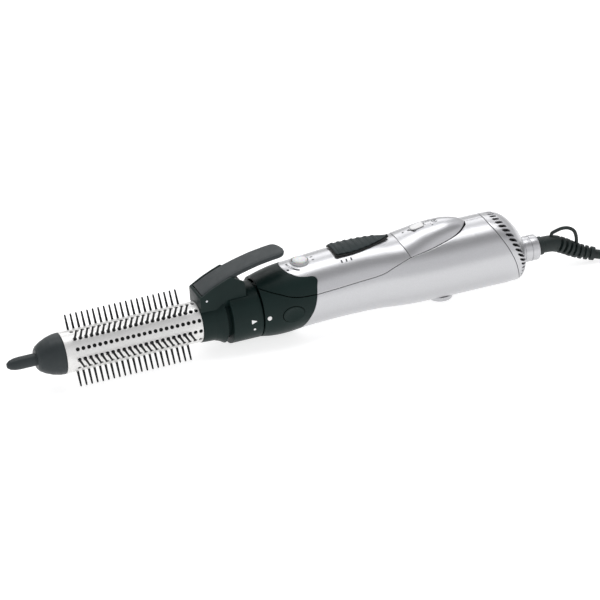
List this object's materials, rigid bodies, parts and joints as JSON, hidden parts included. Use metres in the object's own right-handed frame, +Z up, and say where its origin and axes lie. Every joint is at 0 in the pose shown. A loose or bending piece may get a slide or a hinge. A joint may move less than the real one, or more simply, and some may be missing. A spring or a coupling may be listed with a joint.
{
  "type": "hot air brush",
  "caption": "Hot air styling brush: vented round barrel with retracting pin strips, thumb lever, twist-off attachment, silver handle with switches, vented cap and mains cord.",
  "frame": {"origin": "on the surface that the brush lies on, below the middle of its length from the stalk tip to the end of the cord bush", "axes": "+X along the barrel from the cool tip towards the cord, +Z up through the switches, -Y the side of the release button"},
  "size_m": [0.6633, 0.055, 0.0548],
  "materials": {
    "silver": "metallic silver lacquer",
    "pearl": "pearl ceramic coating",
    "black_shell": "fine satin",
    "slate": "fine satin",
    "pin_black": "satin",
    "steel": "ground",
    "mica": "layered mica",
    "nichrome": "drawn wire",
    "board": "solder mask",
    "white_part": "moulded",
    "clear_part": "frosted clear",
    "rubber": "matte",
    "brass": "bright"
  },
  "bodies": {
    "handle": {"nozzle_housing": "black_shell", "upper_shell": "silver", "lower_shell": "silver", "pod_cover": "silver", "rear_cap": "silver", "index_dot": "white_part", "outlet_grille": "black_shell", "heater_frame": "mica", "heater_coil": "nichrome", "heat_shield": "mica", "thermostat": "brass", "motor": "steel", "motor_mount": "black_shell", "intake_filter": "steel", "circuit_board": "board", "power_switch": "black_shell", "ion_module": "white_part", "screw_1": "steel", "screw_2": "steel", "screw_3": "steel", "screw_4": "steel", "foot": "silver", "cord_bush": "silver", "strain_relief": "rubber", "hanging_loop": "rubber", "cord_lead": "rubber", "cord_hank": "rubber", "cord_tail": "rubber", "cord_tie": "rubber", "plug_body": "rubber", "plug_pin_1": "brass", "plug_pin_2": "brass", "cool_button_spring": "steel", "release_spring": "steel"},
    "lock_collar": {"bayonet_ring": "black_shell"},
    "attachment": {"cool_tip": "slate", "barrel_tube": "pearl", "strip_guide": "black_shell", "root_collar": "black_shell", "lock_ring": "black_shell", "lever_pin": "steel", "lever_spring": "steel"},
    "lever": {"thumb_lever": "slate"},
    "cam": {"cam_rod": "steel"},
    "strip_1": {"pin_strip_1": "pin_black"},
    "strip_2": {"pin_strip_2": "pin_black"},
    "strip_3": {"pin_strip_3": "pin_black"},
    "strip_4": {"pin_strip_4": "pin_black"},
    "strip_5": {"pin_strip_5": "pin_black"},
    "strip_6": {"pin_strip_6": "pin_black"},
    "slide_switch": {"slide_switch": "slate"},
    "cool_button": {"cool_button": "clear_part"},
    "release_button": {"release_button": "black_shell"},
    "ion_slider": {"ion_slider": "white_part"},
    "fan": {"impeller": "white_part", "fan_shaft": "steel"}
  },
  "joints": [
    {"name": "attachment_twist", "type": "hinge", "parent": "handle", "child": "lock_collar", "pos_m": [-0.0108, 0, 0.0189], "axis": [1, 0, 0], "range_deg": [-18, 0]},
    {"name": "attachment_pull", "type": "slide", "parent": "lock_collar", "child": "attachment", "axis": [-1, 0, 0], "range_m": [0, 0.032]},
    {"name": "lever_press", "type": "hinge", "parent": "attachment", "child": "lever", "pos_m": [-0.0489, 0, 0.0359], "axis": [0, 1, 0], "range_deg": [0, 8.5], "stiffness_Nm_per_rad": 0.6, "springref_deg": -14.32, "deforming": ["lever_spring"]},
    {"name": "cam_slide", "type": "slide", "parent": "attachment", "child": "cam", "axis": [1, 0, 0], "range_m": [-0.003, 0]},
    {"name": "strip_1_slide", "type": "slide", "parent": "attachment", "child": "strip_1", "axis": [0, -1, 0], "range_m": [-0.007, 0]},
    {"name": "strip_2_slide", "type": "slide", "parent": "attachment", "child": "strip_2", "axis": [0, -0.5, 0.866], "range_m": [-0.007, 0]},
    {"name": "strip_3_slide", "type": "slide", "parent": "attachment", "child": "strip_3", "axis": [0, 0.5, 0.866], "range_m": [-0.007, 0]},
    {"name": "strip_4_slide", "type": "slide", "parent": "attachment", "child": "strip_4", "axis": [0, 1, 0], "range_m": [-0.007, 0]},
    {"name": "strip_5_slide", "type": "slide", "parent": "attachment", "child": "strip_5", "axis": [0, 0.5, -0.866], "range_m": [-0.007, 0]},
    {"name": "strip_6_slide", "type": "slide", "parent": "attachment", "child": "strip_6", "axis": [0, -0.5, -0.866], "range_m": [-0.007, 0]},
    {"name": "switch_slide", "type": "slide", "parent": "handle", "child": "slide_switch", "axis": [1, 0, 0], "range_m": [-0.0062, 0]},
    {"name": "ion_slide", "type": "slide", "parent": "handle", "child": "ion_slider", "axis": [0.981, 0, 0.194], "range_m": [0, 0.003]},
    {"name": "cool_press", "type": "slide", "parent": "handle", "child": "cool_button", "axis": [0, 0, -1], "range_m": [0, 0.0015], "stiffness_N_per_m": 600, "springref_m": -0.0008, "deforming": ["cool_button_spring"]},
    {"name": "release_press", "type": "slide", "parent": "handle", "child": "release_button", "axis": [0, 1, 0], "range_m": [0, 0.002], "stiffness_N_per_m": 800, "springref_m": -0.0008, "deforming": ["release_spring"]},
    {"name": "fan_spin", "type": "hinge", "parent": "handle", "child": "fan", "pos_m": [0.1252, 0, 0.0204], "axis": [1, 0, 0], "continuous": true}
  ],
  "couplings": [
    {"joint": "cam_slide", "follows": "lever_press", "m_per_rad": -0.0201},
    {"joint": "strip_1_slide", "follows": "lever_press", "m_per_rad": -0.0471},
    {"joint": "strip_2_slide", "follows": "lever_press", "m_per_rad": -0.0471},
    {"joint": "strip_3_slide", "follows": "lever_press", "m_per_rad": -0.0471},
    {"joint": "strip_4_slide", "follows": "lever_press", "m_per_rad": -0.0471},
    {"joint": "strip_5_slide", "follows": "lever_press", "m_per_rad": -0.0471},
    {"joint": "strip_6_slide", "follows": "lever_press", "m_per_rad": -0.0471}
  ]
}
